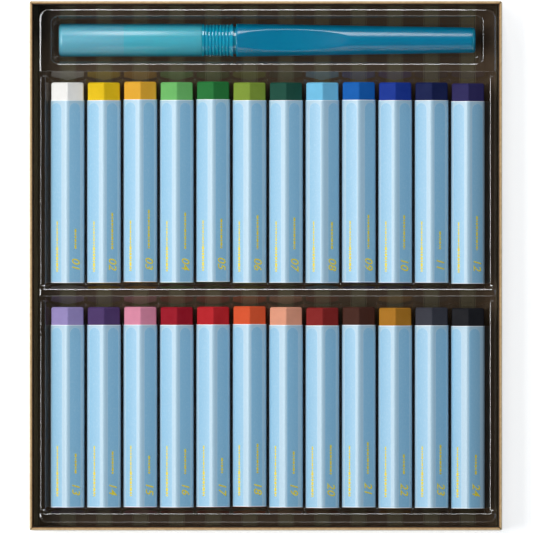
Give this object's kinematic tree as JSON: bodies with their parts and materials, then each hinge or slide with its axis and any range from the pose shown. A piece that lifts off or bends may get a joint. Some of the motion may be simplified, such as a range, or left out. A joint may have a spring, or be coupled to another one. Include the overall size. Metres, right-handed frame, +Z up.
{
  "type": "pastel set in a tray box",
  "caption": "Open cardboard tray box with a clear formed insert that holds two rows of wrapped hexagonal pastel sticks and a water brush in its own pocket.",
  "frame": {"origin": "middle of the box's underside", "axes": "+Z up, +X along the rows of sticks and towards the brush's far end, +Y along the sticks towards their bare tips and the brush pocket"},
  "size_m": [0.175, 0.196, 0.018],
  "materials": {
    "kraft_board": "uncoated kraft board with a rolled rim",
    "lining_paper": "dark uncoated paper",
    "printed_card": "dark brown card with plain stripes",
    "clear_sheet": "thin clear glossy formed plastic",
    "wrapper_paper": "pale blue satin coated paper",
    "cap_plastic": "milky translucent teal plastic",
    "head_plastic": "clear teal plastic",
    "barrel_plastic": "clear teal plastic, soft enough to squeeze",
    "plug_plastic": "dark teal plastic",
    "porous_plug": "white porous plastic",
    "brush_hair": "fine pale synthetic hair",
    "pigment_white": "waxy pressed pigment, faint tooth",
    "pigment_lemon_yellow": "waxy pressed pigment, faint tooth",
    "pigment_golden_yellow": "waxy pressed pigment, faint tooth",
    "pigment_yellow_green": "waxy pressed pigment, faint tooth",
    "pigment_mid_green": "waxy pressed pigment, faint tooth",
    "pigment_olive_green": "waxy pressed pigment, faint tooth",
    "pigment_deep_green": "waxy pressed pigment, faint tooth",
    "pigment_sky_blue": "waxy pressed pigment, faint tooth",
    "pigment_cobalt_blue": "waxy pressed pigment, faint tooth",
    "pigment_ultramarine": "waxy pressed pigment, faint tooth",
    "pigment_navy": "waxy pressed pigment, faint tooth",
    "pigment_dark_violet": "waxy pressed pigment, faint tooth",
    "pigment_lilac": "waxy pressed pigment, faint tooth",
    "pigment_purple": "waxy pressed pigment, faint tooth",
    "pigment_pink": "waxy pressed pigment, faint tooth",
    "pigment_carmine": "waxy pressed pigment, faint tooth",
    "pigment_red": "waxy pressed pigment, faint tooth",
    "pigment_vermilion": "waxy pressed pigment, faint tooth",
    "pigment_salmon": "waxy pressed pigment, faint tooth",
    "pigment_brick_red": "waxy pressed pigment, faint tooth",
    "pigment_dark_brown": "waxy pressed pigment, faint tooth",
    "pigment_ochre": "waxy pressed pigment, faint tooth",
    "pigment_dark_grey": "waxy pressed pigment, faint tooth",
    "pigment_black": "waxy pressed pigment, faint tooth"
  },
  "bodies": {
    "box": {"box_shell": "kraft_board", "wall_lining": "lining_paper", "floor_card": "printed_card"},
    "insert": {"clear_insert": "clear_sheet"},
    "barrel": {"brush_barrel": "barrel_plastic", "end_plug": "plug_plastic"},
    "head": {"brush_head": "head_plastic", "brush_hair": "brush_hair", "feed_plug": "porous_plug"},
    "cap": {"brush_cap": "cap_plastic"},
    "stick_01": {"pastel_01": "pigment_white", "wrapper_01": "wrapper_paper"},
    "stick_02": {"pastel_02": "pigment_lemon_yellow", "wrapper_02": "wrapper_paper"},
    "stick_03": {"pastel_03": "pigment_golden_yellow", "wrapper_03": "wrapper_paper"},
    "stick_04": {"pastel_04": "pigment_yellow_green", "wrapper_04": "wrapper_paper"},
    "stick_05": {"pastel_05": "pigment_mid_green", "wrapper_05": "wrapper_paper"},
    "stick_06": {"pastel_06": "pigment_olive_green", "wrapper_06": "wrapper_paper"},
    "stick_07": {"pastel_07": "pigment_deep_green", "wrapper_07": "wrapper_paper"},
    "stick_08": {"pastel_08": "pigment_sky_blue", "wrapper_08": "wrapper_paper"},
    "stick_09": {"pastel_09": "pigment_cobalt_blue", "wrapper_09": "wrapper_paper"},
    "stick_10": {"pastel_10": "pigment_ultramarine", "wrapper_10": "wrapper_paper"},
    "stick_11": {"pastel_11": "pigment_navy", "wrapper_11": "wrapper_paper"},
    "stick_12": {"pastel_12": "pigment_dark_violet", "wrapper_12": "wrapper_paper"},
    "stick_13": {"pastel_13": "pigment_lilac", "wrapper_13": "wrapper_paper"},
    "stick_14": {"pastel_14": "pigment_purple", "wrapper_14": "wrapper_paper"},
    "stick_15": {"pastel_15": "pigment_pink", "wrapper_15": "wrapper_paper"},
    "stick_16": {"pastel_16": "pigment_carmine", "wrapper_16": "wrapper_paper"},
    "stick_17": {"pastel_17": "pigment_red", "wrapper_17": "wrapper_paper"},
    "stick_18": {"pastel_18": "pigment_vermilion", "wrapper_18": "wrapper_paper"},
    "stick_19": {"pastel_19": "pigment_salmon", "wrapper_19": "wrapper_paper"},
    "stick_20": {"pastel_20": "pigment_brick_red", "wrapper_20": "wrapper_paper"},
    "stick_21": {"pastel_21": "pigment_dark_brown", "wrapper_21": "wrapper_paper"},
    "stick_22": {"pastel_22": "pigment_ochre", "wrapper_22": "wrapper_paper"},
    "stick_23": {"pastel_23": "pigment_dark_grey", "wrapper_23": "wrapper_paper"},
    "stick_24": {"pastel_24": "pigment_black", "wrapper_24": "wrapper_paper"}
  },
  "joints": [
    {"name": "insert_lift", "type": "slide", "parent": "box", "child": "insert", "axis": [0, 0, 1], "range_m": [0, 0.035]},
    {"name": "brush_lift", "type": "slide", "parent": "insert", "child": "barrel", "axis": [0, 0, 1], "range_m": [0, 0.035]},
    {"name": "head_unscrew", "type": "hinge", "parent": "barrel", "child": "head", "pos_m": [0, 0.0836, 0.008], "axis": [-1, 0, 0], "continuous": true},
    {"name": "cap_pull", "type": "slide", "parent": "head", "child": "cap", "axis": [-1, 0, 0], "range_m": [0, 0.0018]},
    {"name": "stick_01_lift", "type": "slide", "parent": "insert", "child": "stick_01", "axis": [0, 0, 1], "range_m": [0, 0.03]},
    {"name": "stick_02_lift", "type": "slide", "parent": "insert", "child": "stick_02", "axis": [0, 0, 1], "range_m": [0, 0.03]},
    {"name": "stick_03_lift", "type": "slide", "parent": "insert", "child": "stick_03", "axis": [0, 0, 1], "range_m": [0, 0.03]},
    {"name": "stick_04_lift", "type": "slide", "parent": "insert", "child": "stick_04", "axis": [0, 0, 1], "range_m": [0, 0.03]},
    {"name": "stick_05_lift", "type": "slide", "parent": "insert", "child": "stick_05", "axis": [0, 0, 1], "range_m": [0, 0.03]},
    {"name": "stick_06_lift", "type": "slide", "parent": "insert", "child": "stick_06", "axis": [0, 0, 1], "range_m": [0, 0.03]},
    {"name": "stick_07_lift", "type": "slide", "parent": "insert", "child": "stick_07", "axis": [0, 0, 1], "range_m": [0, 0.03]},
    {"name": "stick_08_lift", "type": "slide", "parent": "insert", "child": "stick_08", "axis": [0, 0, 1], "range_m": [0, 0.03]},
    {"name": "stick_09_lift", "type": "slide", "parent": "insert", "child": "stick_09", "axis": [0, 0, 1], "range_m": [0, 0.03]},
    {"name": "stick_10_lift", "type": "slide", "parent": "insert", "child": "stick_10", "axis": [0, 0, 1], "range_m": [0, 0.03]},
    {"name": "stick_11_lift", "type": "slide", "parent": "insert", "child": "stick_11", "axis": [0, 0, 1], "range_m": [0, 0.03]},
    {"name": "stick_12_lift", "type": "slide", "parent": "insert", "child": "stick_12", "axis": [0, 0, 1], "range_m": [0, 0.03]},
    {"name": "stick_13_lift", "type": "slide", "parent": "insert", "child": "stick_13", "axis": [0, 0, 1], "range_m": [0, 0.03]},
    {"name": "stick_14_lift", "type": "slide", "parent": "insert", "child": "stick_14", "axis": [0, 0, 1], "range_m": [0, 0.03]},
    {"name": "stick_15_lift", "type": "slide", "parent": "insert", "child": "stick_15", "axis": [0, 0, 1], "range_m": [0, 0.03]},
    {"name": "stick_16_lift", "type": "slide", "parent": "insert", "child": "stick_16", "axis": [0, 0, 1], "range_m": [0, 0.03]},
    {"name": "stick_17_lift", "type": "slide", "parent": "insert", "child": "stick_17", "axis": [0, 0, 1], "range_m": [0, 0.03]},
    {"name": "stick_18_lift", "type": "slide", "parent": "insert", "child": "stick_18", "axis": [0, 0, 1], "range_m": [0, 0.03]},
    {"name": "stick_19_lift", "type": "slide", "parent": "insert", "child": "stick_19", "axis": [0, 0, 1], "range_m": [0, 0.03]},
    {"name": "stick_20_lift", "type": "slide", "parent": "insert", "child": "stick_20", "axis": [0, 0, 1], "range_m": [0, 0.03]},
    {"name": "stick_21_lift", "type": "slide", "parent": "insert", "child": "stick_21", "axis": [0, 0, 1], "range_m": [0, 0.03]},
    {"name": "stick_22_lift", "type": "slide", "parent": "insert", "child": "stick_22", "axis": [0, 0, 1], "range_m": [0, 0.03]},
    {"name": "stick_23_lift", "type": "slide", "parent": "insert", "child": "stick_23", "axis": [0, 0, 1], "range_m": [0, 0.03]},
    {"name": "stick_24_lift", "type": "slide", "parent": "insert", "child": "stick_24", "axis": [0, 0, 1], "range_m": [0, 0.03]}
  ]
}
